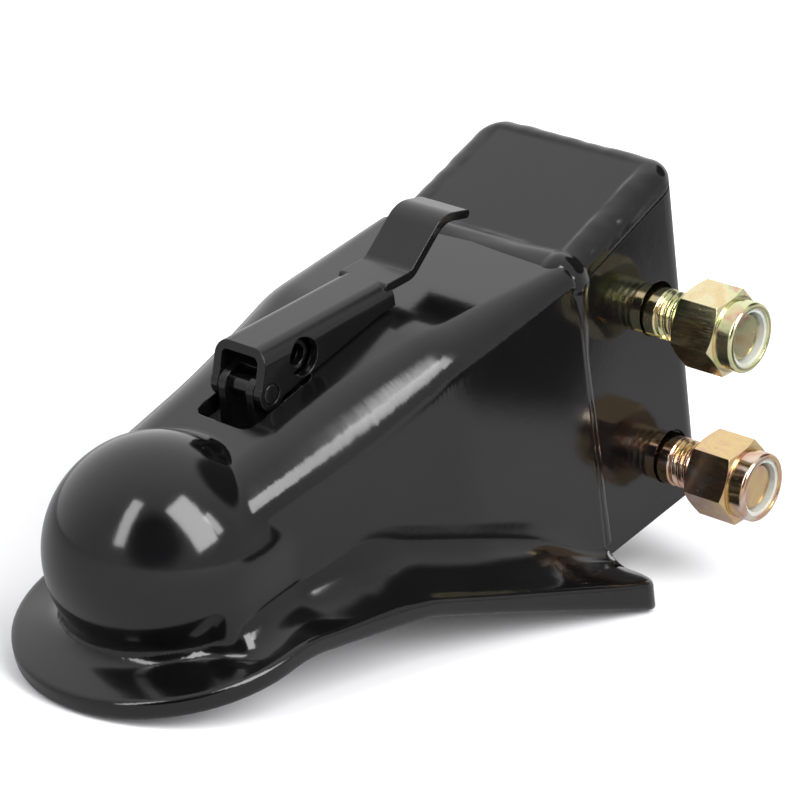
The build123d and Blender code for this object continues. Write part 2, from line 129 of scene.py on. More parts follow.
class Tree:
    def __init__(self, nodeTree):
        self.nodes = nodeTree.nodes
        self.links = nodeTree.links
        self.nodes.clear()

    def node(self, kind, settings=None, inputs=None, output=0):
        made = self.nodes.new(kind)
        for name, value in (settings or {}).items():
            if name == "stops":
                ramp = made.color_ramp.elements
                while len(ramp) < len(value):
                    ramp.new(1.0)
                for stop, (place, colour) in zip(ramp, value):
                    stop.position = place
                    stop.color = (*colour, 1.0)
            else:
                setattr(made, name, value)
        for name, value in (inputs or {}).items():
            if isinstance(value, Wire):
                self.links.new(value.socket, made.inputs[name])
            else:
                made.inputs[name].default_value = value
        return Wire(self, made.outputs[output]) if len(made.outputs) else None

    def noise(self, place, scale, detail=2.0, distortion=0.0):
        inputs = {"Vector": place, "Scale": scale, "Detail": detail, "Distortion": distortion}
        return self.node("ShaderNodeTexNoise", None, inputs)

    def place(self):
        return self.node("ShaderNodeTexCoord", None, None, "Object")

    def axis(self, place, name):
        return self.node("ShaderNodeSeparateXYZ", None, {"Vector": place}, name)

    def vector(self, operation, first, second=None, output=0):
        inputs = {0: first} if second is None else {0: first, 1: second}
        return self.node("ShaderNodeVectorMath", {"operation": operation}, inputs, output)

    def stretched(self, place, scale):
        return self.node("ShaderNodeMapping", None, {"Vector": place, "Scale": scale})

    def lightPath(self, kind):
        return self.node("ShaderNodeLightPath", None, None, kind)

    def bump(self, height, strength, depth, edgeRadius=None):
        inputs = {"Strength": strength, "Distance": depth, "Height": height}
        if edgeRadius:
            inputs["Normal"] = self.node("ShaderNodeBevel", {"samples": 6}, {"Radius": edgeRadius})
        return self.node("ShaderNodeBump", None, inputs)

    def band(self, value, low, high):
        # 0 below low, 1 above high, smooth between
        inputs = {"Value": value, "From Min": low, "From Max": high}
        return self.node("ShaderNodeMapRange", {"interpolation_type": "SMOOTHSTEP"}, inputs)

    def patch(self, ray, toward, spread):
        # 1 in the middle of a round patch of directions, 0 outside it
        dot = self.vector("DOT_PRODUCT", ray, heading(*toward), "Value")
        rim, core = (math.cos(math.radians(angle)) for angle in spread)
        return self.band(dot, rim, core)

    def mix(self, factor, first, second):
        inputs = {0: factor, 6: first, 7: second}
        return self.node("ShaderNodeMix", {"data_type": "RGBA"}, inputs, 2)


def newMaterial(name):
    material = bpy.data.materials.new(name)
    material.use_nodes = True
    return material, Tree(material.node_tree)


def close(tree, shader):
    tree.node("ShaderNodeOutputMaterial", None, {"Surface": shader})


def closePrincipled(tree, inputs):
    close(tree, tree.node("ShaderNodeBsdfPrincipled", None, inputs))


paintSet = {
    "black": (0.0020, 0.0020, 0.0022, 1),
    "worn": (0.0040, 0.0040, 0.0044, 1),
    "wornBand": (0.35, 0.75),
    "ior": 1.5,
    "roughness": 0.11,
    "smudge": 0.08,
    "smudgeBand": (0.45, 0.8),
    "hazeScale": 18,
    "dust": 0.12,
    "dustScale": 2600,
    "dustBand": (0.70, 0.78),
    "peelScale": 420,
    "peelShare": 0.6,
    "flowScale": 55,
    "flowTwist": 0.4,
    "flowShare": 1.6,
    "bump": 0.5,
    "bumpDepth": 0.00004,
    "edgeRadius": 0.0005,
    "drawStretch": (0.05, 1, 0.05),
    "drawScale": 1500,
    "drawTilt": 0.17,
    "drawFrom": (0.012, 0.020),
}


def gloss(name, drawn=0):
    material, tree = newMaterial(name)
    place = tree.place()
    peel = tree.noise(place, paintSet["peelScale"], 2)
    flow = tree.noise(place, paintSet["flowScale"], 3, paintSet["flowTwist"])
    haze = tree.noise(place, paintSet["hazeScale"], 4)
    dust = tree.band(tree.noise(place, paintSet["dustScale"], 1), *paintSet["dustBand"])
    lumps = peel * paintSet["peelShare"] + flow * paintSet["flowShare"]
    bump = tree.bump(lumps, paintSet["bump"], paintSet["bumpDepth"], paintSet["edgeRadius"])
    # draw marks of the press lean the surface over the shoulders
    drawnOut = tree.stretched(place, paintSet["drawStretch"])
    marks = tree.noise(drawnOut, paintSet["drawScale"], 3) - 0.5
    for way in ("Z", "Y"):
        marks = marks * tree.band(tree.axis(place, way), *paintSet["drawFrom"])
    lean = tree.node("ShaderNodeCombineXYZ", None, {"Z": marks * drawn})
    worn = tree.band(haze, *paintSet["wornBand"])
    smudge = tree.band(haze, *paintSet["smudgeBand"]) * paintSet["smudge"]
    closePrincipled(tree, {
        "Base Color": tree.mix(worn, paintSet["black"], paintSet["worn"]),
        "Roughness": paintSet["roughness"] + smudge + dust * paintSet["dust"],
        "Normal": tree.vector("ADD", bump, lean),
        "IOR": paintSet["ior"],
    })
    return material


zincSet = {
    "pink": (0.66, 0.40, 0.30),
    "gold": (0.72, 0.54, 0.26),
    "pale": (0.80, 0.70, 0.44),
    "green": (0.68, 0.72, 0.40),
    "silver": (0.78, 0.74, 0.62),
    "stain": (0.30, 0.20, 0.09, 1),
    "warm": [(0.30, "silver"), (0.42, "pink"), (0.55, "gold"), (0.68, "pink")],
    "cool": [(0.30, "gold"), (0.44, "pale"), (0.56, "green"), (0.70, "pink")],
    "upperBand": (-0.040, -0.024),
    "filmScale": 60,
    "filmTwist": 1.2,
    "stainScale": 900,
    "stainBand": (0.58, 0.80),
    "stainShare": 0.25,
    "stainRough": 0.12,
    "scratchStretch": (0.08, 1, 1),
    "scratchScale": 1800,
    "scratchBand": (0.4, 0.75),
    "scratchRough": 0.07,
    "roughness": 0.15,
    "bump": 0.12,
    "bumpDepth": 0.00004,
    "edgeRadius": 0.0003,
}


def passivatedZinc():
    material, tree = newMaterial("yellowZinc")
    place = tree.place()
    film = tree.noise(place, zincSet["filmScale"], 2, zincSet["filmTwist"])
    spots = tree.noise(place, zincSet["stainScale"], 3)
    drawnOut = tree.stretched(place, zincSet["scratchStretch"])
    scratch = tree.noise(drawnOut, zincSet["scratchScale"], 2)
    tints = []
    for tone in ("warm", "cool"):
        stops = [(spot, zincSet[tint]) for spot, tint in zincSet[tone]]
        tints.append(tree.node("ShaderNodeValToRGB", {"stops": stops}, {"Fac": film}))
    upper = tree.band(tree.axis(place, "Z"), *zincSet["upperBand"])
    stain = tree.band(spots, *zincSet["stainBand"])
    colour = tree.mix(upper, *tints)
    scratched = tree.band(scratch, *zincSet["scratchBand"]) * zincSet["scratchRough"]
    closePrincipled(tree, {
        "Base Color": tree.mix(stain * zincSet["stainShare"], colour, zincSet["stain"]),
        "Roughness": zincSet["roughness"] + scratched + stain * zincSet["stainRough"],
        "Normal": tree.bump(
            scratch + spots, zincSet["bump"], zincSet["bumpDepth"], zincSet["edgeRadius"]),
        "Metallic": 1.0,
    })
    return material


nylonSet = {
    "white": (0.46, 0.47, 0.45, 1),
    "grey": (0.36, 0.38, 0.36, 1),
    "cloudScale": 160,
    "cloudBand": (0.4, 0.75),
    "cloudRough": 0.15,
    "roughness": 0.3,
    "grainScale": 1500,
    "bump": 0.3,
    "bumpDepth": 0.00008,
    "subsurface": 0.15,
    "subsurfaceScale": 0.002,
}


def nylon():
    material, tree = newMaterial("whiteNylon")
    place = tree.place()
    cloud = tree.noise(place, nylonSet["cloudScale"], 3)
    grain = tree.noise(place, nylonSet["grainScale"], 2)
    grey = tree.band(cloud, *nylonSet["cloudBand"])
    closePrincipled(tree, {
        "Base Color": tree.mix(grey, nylonSet["white"], nylonSet["grey"]),
        "Roughness": nylonSet["roughness"] + cloud * nylonSet["cloudRough"],
        "Normal": tree.bump(grain, nylonSet["bump"], nylonSet["bumpDepth"]),
        "Subsurface Weight": nylonSet["subsurface"],
        "Subsurface Scale": nylonSet["subsurfaceScale"],
    })
    return material


steelSet = {
    "bright": (0.46, 0.46, 0.47, 1),
    "oiled": (0.15, 0.14, 0.13, 1),
    "oilScale": 70,
    "oilTwist": 0.8,
    "oilBand": (0.42, 0.68),
    "oilRough": 0.18,
    "roughness": 0.46,
    "grainScale": 1400,
    "grainRough": 0.08,
    "bump": 0.4,
    "bumpDepth": 0.00006,
    "edgeRadius": 0.0004,
}


def oiledSteel():
    material, tree = newMaterial("oiledSteel")
    place = tree.place()
    stain = tree.noise(place, steelSet["oilScale"], 4, steelSet["oilTwist"])
    grain = tree.noise(place, steelSet["grainScale"], 2)
    oil = tree.band(stain, *steelSet["oilBand"])
    dry = steelSet["roughness"] - oil * steelSet["oilRough"]
    closePrincipled(tree, {
        "Base Color": tree.mix(oil, steelSet["bright"], steelSet["oiled"]),
        "Roughness": dry + grain * steelSet["grainRough"],
        "Normal": tree.bump(
            grain, steelSet["bump"], steelSet["bumpDepth"], steelSet["edgeRadius"]),
        "Metallic": 1.0,
    })
    return material


finishes = {
    "black_paint": gloss("glossBlackPaint"),
    "yellow_zinc": passivatedZinc(),
    "nylon": nylon(),
    "bare_steel": oiledSteel(),
}
slotOf = {row["node"]: row["material_slot"] for row in frame["record"]["subparts"]}
for node, slot in slotOf.items():
    solid = frame["nodes"][node]
    solid.data.materials.clear()
    solid.data.materials.append(finishes[slot])
print("finishes on", len(slotOf), "nodes")


mergeReach = 0.002 * mm


def copyOf(node):
    form = bmesh.new()
    form.from_mesh(frame["nodes"][node].data)
    bmesh.ops.remove_doubles(form, verts=form.verts, dist=mergeReach)
    return form


def piece(form, name, node, sharp=35):
    # one dressed piece that stands for a CAD node
    limit = math.radians(sharp)
    for face in form.faces:
        face.smooth = True
    for edge in form.edges:
        edge.smooth = len(edge.link_faces) == 2 and edge.calc_face_angle(0) < limit
    mesh = bpy.data.meshes.new(name)
    form.to_mesh(mesh)
    form.free()
    made = bpy.data.objects.new(name, mesh)
    scene.collection.objects.link(made)
    slot = slotOf[node]
    mesh.materials.append(finishes[slot])
    bodies = frame["record"]["behaviour"]["bodies"]
    body = next(owner for owner, nodes in bodies.items() if node in nodes)
    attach(made, body)
    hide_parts(node)
    return made


shellSet = {
    "grid": 1.06 * mm,
    "smoothTurns": 3,
    "pullTurns": 8,
    "settleTurns": 3,
    "dome": 32.9,
    "tuckDepth": 15.5,
    "tuckFade": (2, 12),
    "widthStart": 31.3,
    "widthSlopes": (0.085, 0.088, 0.107, 0.009),
    "widthBends": (20.0, 48.0, 88.0),
    "widthEases": (14.0, 12.0, 6.0),
    "crownStart": 31.3,
    "crownSlopes": (0.1102, -0.0541),
    "crownBends": (88.0,),
    "crownEases": (5.0,),
    "shoulderStart": 17.0,
    "shoulderSlopes": (0.05, -0.127, 0.0),
    "shoulderBends": (50.0, 141.0),
    "shoulderEases": (15.0, 2.0),
    "neckSoft": (3.0, 6.5),
    "neckRun": (-4, 17),
    "neckCrisp": 1.2,
    "neckFade": (0.0, 16.0),
    "wingStart": -19.8,
    "wingSlopes": (0.0, -0.3096, -0.5228),
    "wingBends": (9.0, 57.0),
    "wingEases": (6.8, 4.1),
    "toeStart": 0.4,
    "toeSlopes": (0.0, 0.16, 0.0, -0.03),
    "toeBends": (14.0, 48.0, 100.0),
    "toeEases": (8.0, 5.0, 8.0),
    "toeOut": 3.0,
    "ringToe": 2.8,
    "ringToeFade": (6, 28),
    "ringInner": 31.0,
    "rimFlat": 1.6,
    "flangeLeast": 4,
    "inwardMost": -0.6,
    "rimStart": 0.0,
    "rimSlopes": (0.0, 0.055, 0.12),
    "rimBends": (80.0, 130.0),
    "rimEases": (10.0, 6.0),
    "plate": 6.0,
    "underFade": (2.0, 4.0),
    "underDrop": 6,
    "bodyScale": 0.97,
    "wingScale": 1.1,
    "sweepLean": 0.145,
    "leanHeight": 18.0,
    "leanEase": 3.0,
    "leanMost": 22,
    "sweepCurve": 0.0155,
    "curveHeight": 10.0,
    "curveMost": 12,
    "sweepFade": (4, 36, 104, 140),
    "flareSoft": (12.0, 8.0, 5.0),
    "flareFade": (40, 62, 110, 143),
    "flareNose": 5.5,
    "flareStart": (-15, -6),
    "rimRound": 1.5,
    "rimCorner": 6.0,
    "rear": 143.5,
    "rimStep": 2.0,
    "rimSlice": 1.2,
    "rimFine": 0.5,
    "rimOrder": 6,
    "liftFade": (-5, -1.2),
    "liftEdge": 2,
    "pullFacing": (0.35, 0.7),
    "pullRange": (-18, 5),
    "rearFacing": (0.45, 0.8),
    "rearFrom": 139,
    "slopeLeast": 0.2,
    "stray": 0.55 * mm,
    "sharp": 75,
}


def step(value, low, high):
    part = np.clip((value - low) / (high - low), 0, 1)
    return part * part * (3 - 2 * part)


def bentLine(run, name):
    # straight runs with eased bends
    slopes, bends = shellSet[name + "Slopes"], shellSet[name + "Bends"]
    height = shellSet[name + "Start"] + slopes[0] * (run - bends[0])
    for before, after, bend, ease in zip(slopes, slopes[1:], bends, shellSet[name + "Eases"]):
        past = run - bend
        soft = np.where(np.abs(past) < ease, (past + ease) ** 2 / (4 * ease), np.maximum(past, 0))
        height = height + (after - before) * soft
    return height


def softJoin(first, second, reach):
    # the nearer of two distances, rounded where they meet
    overlap = np.maximum(reach - np.abs(first - second), 0) / reach
    return np.minimum(first, second) - overlap * overlap * reach / 4


def flangeRise(spots, rimLine):
    # height of the flange's foot, of its top at each point, and how steeply it falls
    across, run = np.abs(spots[:, 0]), spots[:, 1]
    reach = np.hypot(across, np.minimum(run, 0))
    ring = shellSet["ringInner"]
    chord = np.sqrt(np.maximum(ring ** 2 - run ** 2, 0))
    beside = np.maximum(bentLine(run, "width") + shellSet["toeOut"], chord)
    inner = np.where(run < 0, ring, beside)
    outer = np.interp(np.maximum(run, 0), *rimLine) - shellSet["rimFlat"]
    wide = np.maximum(outer - inner, shellSet["flangeLeast"])
    out = np.clip((reach - inner) / wide, shellSet["inwardMost"], 1)
    toe = bentLine(run, "toe") + shellSet["ringToe"] * step(-run, *shellSet["ringToeFade"])
    rise = toe * (1 - out) + bentLine(run, "rim") * np.clip(out, 0, 1)
    return toe, rise, toe / wide


def rimInset(spots, rimLine):
    # distance of points from the flange's outer edge in plan
    across, run = np.abs(spots[:, 0]), spots[:, 1]
    inset = np.interp(np.maximum(run, 0), *rimLine) - np.hypot(across, np.minimum(run, 0))
    corner = shellSet["rimCorner"]
    besideCorner = across - rimLine[1][-1] + corner
    pastCorner = run - shellSet["rear"] + corner
    inCorner = (besideCorner > 0) & (pastCorner > 0)
    return np.where(inCorner, corner - np.hypot(besideCorner, pastCorner), inset)


def wallSweep(run, over, toe):
    # how far the wall's foot leans and curves outward
    begin, full, late, end = shellSet["sweepFade"]
    lean = np.clip(shellSet["leanHeight"] - over + toe, 0, shellSet["leanMost"])
    ease = shellSet["leanEase"]
    lean = np.where(lean < ease, lean * lean / (2 * ease), lean - ease / 2)
    curve = np.clip(shellSet["curveHeight"] - over + toe, 0, shellSet["curveMost"])
    sweep = shellSet["sweepLean"] * lean + shellSet["sweepCurve"] * curve * curve
    return sweep * step(run, begin, full) * (1 - step(run, late, end))


def flareRadius(run):
    wide, middle, tight = shellSet["flareSoft"]
    first, second, third, last = shellSet["flareFade"]
    flare = wide + (middle - wide) * step(run, first, second)
    flare = flare + (tight - middle) * step(run, third, last)
    nose = shellSet["flareNose"]
    return nose + (flare - nose) * step(run, *shellSet["flareStart"])


def neckRadius(run, up):
    least, most = shellSet["neckSoft"]
    neck = least + (most - least) * step(run, *shellSet["neckRun"])
    return neck + (shellSet["neckCrisp"] - neck) * step(up, *shellSet["neckFade"])


def pressedSkin(spots, rimLine):
    # how far points in mm lie outside the pressed head's outer skin
    across, run, up = np.abs(spots[:, 0]), spots[:, 1], spots[:, 2]
    tuck = step(-run, *shellSet["tuckFade"])
    lift = np.maximum(up, 0) + np.clip(-up, 0, shellSet["tuckDepth"]) * tuck
    dome = np.sqrt(across ** 2 + run ** 2 + lift ** 2) - shellSet["dome"]
    toe, rise, fall = flangeRise(spots, rimLine)
    over = up - bentLine(run, "wing")
    shoulder = bentLine(run, "shoulder")
    side = across - bentLine(run, "width") - wallSweep(run, over, toe) + shoulder
    top = up - bentLine(run, "crown") + shoulder
    corner = np.hypot(np.maximum(side, 0), np.maximum(top, 0))
    body = shellSet["bodyScale"] * (corner + np.minimum(np.maximum(side, top), 0) - shoulder)
    body = np.maximum(body, -run)
    head = softJoin(dome, body, neckRadius(run, up))
    wing = (over - rise) / np.sqrt(shellSet["wingScale"] + fall ** 2)
    skin = softJoin(head, wing, flareRadius(run))
    rim = -rimInset(spots, rimLine)
    droop = bentLine(run + 0.5, "wing") - bentLine(run - 0.5, "wing")
    inward = step(-rim, *shellSet["underFade"])
    thick = shellSet["plate"] * (1 + shellSet["underDrop"] * inward)
    under = -over / np.hypot(1, droop) - thick
    sides = np.stack((skin, rim, under))
    soft = shellSet["rimRound"]
    rounded = np.linalg.norm(np.maximum(sides + soft, 0), axis=0)
    return np.minimum(sides.max(axis=0), -soft) + rounded


def skinSlope(spots, rimLine, reach=0.05):
    # outward direction of the skin
    slope = np.zeros_like(spots)
    for axis in range(3):
        move = np.zeros(3)
        move[axis] = reach
        ahead, behind = pressedSkin(spots + move, rimLine), pressedSkin(spots - move, rimLine)
        slope[:, axis] = (ahead - behind) / (2 * reach)
    return slope


def rimOf(spots):
    # half width of the flange along the head, without its rounded rear corner
    runs = np.arange(1.0, shellSet["rear"] - shellSet["rimCorner"], shellSet["rimStep"])
    slices = [np.abs(spots[:, 1] - run) < shellSet["rimSlice"] for run in runs]
    reach = [np.abs(spots[near, 0]).max() for near in slices]
    fine = np.arange(0.0, shellSet["rear"] + 1, shellSet["rimFine"])
    line = np.polyfit(runs / 100, reach, shellSet["rimOrder"])
    return fine, np.polyval(line, np.minimum(fine, runs[-1]) / 100)


def remeshed(form, grid, smoothTurns):
    # the same form on an even grid
    spare = bpy.data.meshes.new("remeshSpare")
    form.to_mesh(spare)
    form.free()
    holder = bpy.data.objects.new("remeshSpare", spare)
    scene.collection.objects.link(holder)
    change = holder.modifiers.new("grid", "REMESH")
    change.mode = "VOXEL"
    change.voxel_size = grid
    settled = holder.evaluated_get(bpy.context.evaluated_depsgraph_get())
    fine = bpy.data.meshes.new_from_object(settled)
    bpy.data.objects.remove(holder)
    bpy.data.meshes.remove(spare)
    form = bmesh.new()
    form.from_mesh(fine)
    bpy.data.meshes.remove(fine)
    for turn in range(smoothTurns):
        bmesh.ops.smooth_vert(
            form, verts=form.verts, factor=0.5,
            use_axis_x=True, use_axis_y=True, use_axis_z=True,
        )
    form.normal_update()
    return form


def settleStrays(form):
    # a vertex that stands far off its neighbours goes back between them
    places = {}
    for vert in form.verts:
        around = [edge.other_vert(vert).co for edge in vert.link_edges]
        middle = sum(around, Vector()) / len(around)
        if (middle - vert.co).length > shellSet["stray"]:
            places[vert] = middle
    for vert, middle in places.items():
        vert.co = middle
    print("strays settled:", len(places))


def addShell():
    form = remeshed(copyOf("coupler_shell"), shellSet["grid"], shellSet["smoothTurns"])
    spots = np.array([vert.co for vert in form.verts]) / mm
    normals = np.array([vert.normal for vert in form.verts])
    rimLine = rimOf(spots)
    # the flange's underside goes up with its top
    depth = spots[:, 2] - bentLine(spots[:, 1], "wing")
    reach = np.hypot(spots[:, 0], np.minimum(spots[:, 1], 0))
    wall = bentLine(spots[:, 1], "width")
    onFlange = step(reach, wall - shellSet["liftEdge"], wall + shellSet["liftEdge"])
    rise = flangeRise(spots, rimLine)[1]
    spots[:, 2] += rise * step(depth, *shellSet["liftFade"]) * onFlange
    # only the outer side is pulled to the skin, and the rear face stays
    slope = skinSlope(spots, rimLine)
    facing = np.sum(slope * normals, axis=1) / np.linalg.norm(slope, axis=1)
    outside = pressedSkin(spots, rimLine)
    least, most = shellSet["pullRange"]
    rearFace = step(normals[:, 1], *shellSet["rearFacing"]) * (spots[:, 1] > shellSet["rearFrom"])
    pull = step(facing, *shellSet["pullFacing"]) * (1 - rearFace)
    pull = pull * (outside > least) * (outside < most)
    for turn in range(shellSet["pullTurns"]):
        slope = skinSlope(spots, rimLine)
        size = np.maximum(np.sum(slope * slope, axis=1), shellSet["slopeLeast"])
        spots -= (pull * pressedSkin(spots, rimLine) / size)[:, None] * slope
    for vert, spot in zip(form.verts, spots):
        vert.co = Vector(spot) * mm
    for turn in range(shellSet["settleTurns"]):
        settleStrays(form)
    form.normal_update()
    made = piece(form, "pressedHead", "coupler_shell", shellSet["sharp"])
    made.data.materials[0] = gloss("drawnBlackPaint", paintSet["drawTilt"])


addShell()
print("pressed head in place")


threadSet = {
    "start": 40.4 * mm,
    "pitch": 2.31 * mm,
    "crest": 7.80 * mm,
    "root": 6.75 * mm,
    "outline": [
        (0, "root"), (0.08, "root"), (0.42, "crest"),
        (0.58, "crest"), (0.92, "root"), (1, "root"),
    ],
    "steps": 40,
    "merge": 0.01 * mm,
    "chamfer": 1.3 * mm,
    "cutSlack": 0.001 * mm,
    "coreStep": 0.5 * mm,
}


def cutAcross(form, place):
    # cuts the form off past a place along the bolt and closes it there
    cut = bmesh.ops.bisect_plane(
        form, geom=form.verts[:] + form.edges[:] + form.faces[:], dist=threadSet["cutSlack"],
        plane_co=(place, 0, 0), plane_no=(1, 0, 0), clear_outer=True,
    )["geom_cut"]
    rim = [item for item in cut if isinstance(item, bmesh.types.BMEdge)]
    return bmesh.ops.edgeloop_fill(form, edges=rim)["faces"]


def threadForm(low, high, middle):
    # one pitch of the thread's outline, turned up the bolt
    pitch, steps = threadSet["pitch"], threadSet["steps"]
    form = bmesh.new()
    begin = low - pitch
    chain = [
        form.verts.new((begin + part * pitch, middle.y, middle.z + threadSet[edge]))
        for part, edge in threadSet["outline"]
    ]
    edges = [form.edges.new(pair) for pair in zip(chain, chain[1:])]
    turns = math.ceil((high - begin) / pitch) + 1
    bmesh.ops.spin(
        form, geom=chain + edges, cent=middle, axis=(1, 0, 0), dvec=(pitch / steps, 0, 0),
        angle=2 * math.pi * turns, steps=steps * turns,
    )
    bmesh.ops.remove_doubles(form, verts=form.verts, dist=threadSet["merge"])
    cutAcross(form, high)
    for vert in form.verts:
        limit = threadSet["crest"] - max(0, vert.co.x - high + threadSet["chamfer"])
        arm = Vector((0, vert.co.y - middle.y, vert.co.z - middle.z))
        if arm.length > limit:
            vert.co = Vector((vert.co.x, middle.y, middle.z)) + arm * (limit / arm.length)
    bmesh.ops.recalc_face_normals(form, faces=form.faces)
    return form


def addBolt(node):
    low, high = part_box(node)
    middle = (low + high) / 2
    form = copyOf(node)
    cap = cutAcross(form, threadSet["start"])
    bmesh.ops.inset_region(form, faces=cap, thickness=threadSet["coreStep"])
    for face in cap:
        bmesh.ops.translate(form, verts=face.verts, vec=(threadSet["coreStep"], 0, 0))
    thread = threadForm(threadSet["start"], high.x, middle)
    spare = bpy.data.meshes.new("threadSpare")
    thread.to_mesh(spare)
    thread.free()
    form.from_mesh(spare)
    bpy.data.meshes.remove(spare)
    piece(form, node.replace("_bolt", "ThreadedBolt"), node)


for boltNode in ("upper_bolt", "lower_bolt"):
    addBolt(boltNode)
print("threaded bolts in place")


weldSet = {
    "side": 36.6 * mm,
    "top": 27.4 * mm,
    "seam": 143.9 * mm,
    "corner": 9 * mm,
    "longest": 0.9 * mm,
    "cutTurns": 2,
    "across": 1.5,
    "proud": 0.55,
    "sideAcross": 0.85,
    "sideProud": 0.32,
    "sideEase": 3 * mm,
    "topEase": (6 * mm, 14 * mm),
    "sideFrom": 30 * mm,
    "ripple": 0.22 * mm,
    "rippleStep": 3.1 * mm,
    "rippleShift": 1.4,
    "rippleScale": 160,
    "wanderScale": 70,
    "wanderAcross": 0.35,
    "wanderProud": 0.2,
    "lump": 0.75 * mm,
    "lumpScale": 190,
    "lumpShift": (7.1, 3.3, 1.7),
    "blob": 1.1 * mm,
    "blobReach": 8 * mm,
    "blobInset": (4 * mm, 2 * mm),
    "blobFar": 0.5,
    "blobAcross": 0.5,
    "blobProud": 0.2,
    "sharp": 70,
}


def weldCore(spot):
    # nearest point on the seam's centre line
    side, top, corner = weldSet["side"], weldSet["top"], weldSet["corner"]
    across, up = abs(spot.x), spot.z
    if across > side - corner and up > top - corner:
        hub = Vector((side - corner, 0, top - corner))
        arm = Vector((across - hub.x, 0, up - hub.z))
        core = hub + arm.normalized() * corner
    elif side - across < top - up:
        core = Vector((side, 0, up))
    else:
        core = Vector((across, 0, top))
    return Vector((math.copysign(core.x, spot.x), weldSet["seam"], core.z))


def nearBlob(core, hub):
    return math.exp(-((core - hub).length / weldSet["blobReach"]) ** 2)


def weldHeight(spot, core, blobs):
    # ripples along the seam, lumps all over it and a blob at each shoulder
    run = core.z if abs(core.x) > weldSet["sideFrom"] else core.x
    shift = weldSet["rippleShift"] * noise.noise(core * weldSet["rippleScale"])
    wave = abs(math.sin(math.pi * run / weldSet["rippleStep"] + shift))
    swell = noise.noise(spot * weldSet["lumpScale"] + Vector(weldSet["lumpShift"]))
    return weldSet["ripple"] * wave + weldSet["lump"] * swell + weldSet["blob"] * blobs


def addWeld():
    form = copyOf("shell_weld")
    for turn in range(weldSet["cutTurns"]):
        longEdges = [edge for edge in form.edges if edge.calc_length() > weldSet["longest"]]
        bmesh.ops.subdivide_edges(form, edges=longEdges, cuts=1)
        bmesh.ops.triangulate(form, faces=form.faces)
    form.normal_update()
    side, top = weldSet["side"], weldSet["top"]
    inset, drop = weldSet["blobInset"]
    hub = Vector((side - inset, weldSet["seam"], top - drop))
    farHub = Vector((-hub.x, hub.y, hub.z))
    for vert in form.verts:
        core = weldCore(vert.co)
        arm = vert.co - core
        near = nearBlob(core, hub)
        far = weldSet["blobFar"] * nearBlob(core, farHub)
        wander = noise.noise(core * weldSet["wanderScale"])
        upright = step(abs(core.x), side - weldSet["sideEase"], side)
        upright = upright * step(top - core.z, *weldSet["topEase"])
        wide = weldSet["across"] + (weldSet["sideAcross"] - weldSet["across"]) * upright
        wide = wide + weldSet["wanderAcross"] * wander + weldSet["blobAcross"] * near
        tall = weldSet["proud"] + (weldSet["sideProud"] - weldSet["proud"]) * upright
        tall = tall + weldSet["wanderProud"] * wander + weldSet["blobProud"] * near
        shaped = Vector((arm.x * tall, arm.y * wide, arm.z * tall))
        height = weldHeight(vert.co, core, near + far)
        vert.co = core + shaped + shaped.normalized() * height
    form.normal_update()
    piece(form, "weldBead", "shell_weld", weldSet["sharp"])


addWeld()
print("weld bead in place")


capSet = {
    "grid": 0.6 * mm,
    "smoothTurns": 2,
    "panel": (28.0, 149.0, 190.0),
    "panelEdge": (-1.3, 0.5),
    "beadFacing": (0.0, 0.4),
    "bead": 0.35,
    "lump": 0.50,
    "lumpScale": 75,
    "fineLump": 0.4,
    "fineScale": 3,
    "sharp": 70,
}


def addCap():
    # the plate is welded in all round, with a lumpy bead outside its flat panel
    form = remeshed(copyOf("channel_cap"), capSet["grid"], capSet["smoothTurns"])
    half, front, rear = capSet["panel"]
    for vert in form.verts:
        across, run = abs(vert.co.x) / mm, vert.co.y / mm
        inside = min(half - across, run - front, rear - run)
        facing = step(vert.normal.z, *capSet["beadFacing"])
        bead = (1 - step(inside, *capSet["panelEdge"])) * facing
        lump = noise.noise(vert.co * capSet["lumpScale"])
        fine = noise.noise(vert.co * capSet["fineScale"] * capSet["lumpScale"])
        lump = lump + capSet["fineLump"] * fine
        vert.co += vert.normal * (bead * (capSet["bead"] + capSet["lump"] * lump) * mm)
    form.normal_update()
    piece(form, "weldedCap", "channel_cap", capSet["sharp"])


addCap()
print("cap in place")


pinSet = {"flush": 0.93}


def addPin():
    # the pin's ends are peened flush into the lever's legs
    form = copyOf("lever_pin")
    bmesh.ops.scale(form, vec=(pinSet["flush"], 1, 1), verts=form.verts)
    piece(form, "peenedPin", "lever_pin")


addPin()
print("pin in place")


stageSet = {
    "front": (0, -45.6 * mm, -25.9 * mm),
    "tilt": 17.85,
    "reach": 1.6,
    "segments": 96,
    "white": (0.82, 0.82, 0.84, 1),
    # the floor's grey as reflections see it is painted reflection shade, darker than the floor
    # really is
    "paintedReflectionShade": (0.42, 0.42, 0.43, 1),
    "paintedDarkReflection": (0.03, 0.03, 0.03, 1),
    "beyondHub": (0.037, 0.070, 0),
    "beyondToward": (134, 0),
    "beyondSpread": (17, 12),
    "beyondFrom": (0.21, 0.26),
    "beyondTo": (0.50, 0.70),
    "lift": 0.04,
    "farLift": 0.6,
    "farFrom": (0.2, 0.45),
}


def paintedDarkReflectionZone(tree, spot):
    # 1 on the part of the floor that the near wall's foot mirrors, where the floor is painted
    # near-black for reflections only: a painted dark reflection
    arm = tree.vector("SUBTRACT", spot, stageSet["beyondHub"])
    arm = tree.vector("MULTIPLY", arm, (1, 1, 0))
    away = tree.vector("LENGTH", arm, None, "Value")
    course = tree.vector("NORMALIZE", arm)
    beside = tree.patch(course, stageSet["beyondToward"], stageSet["beyondSpread"])
    begun = tree.band(away, *stageSet["beyondFrom"])
    ended = tree.band(away, *stageSet["beyondTo"])
    return beside * begun * (1 - ended)


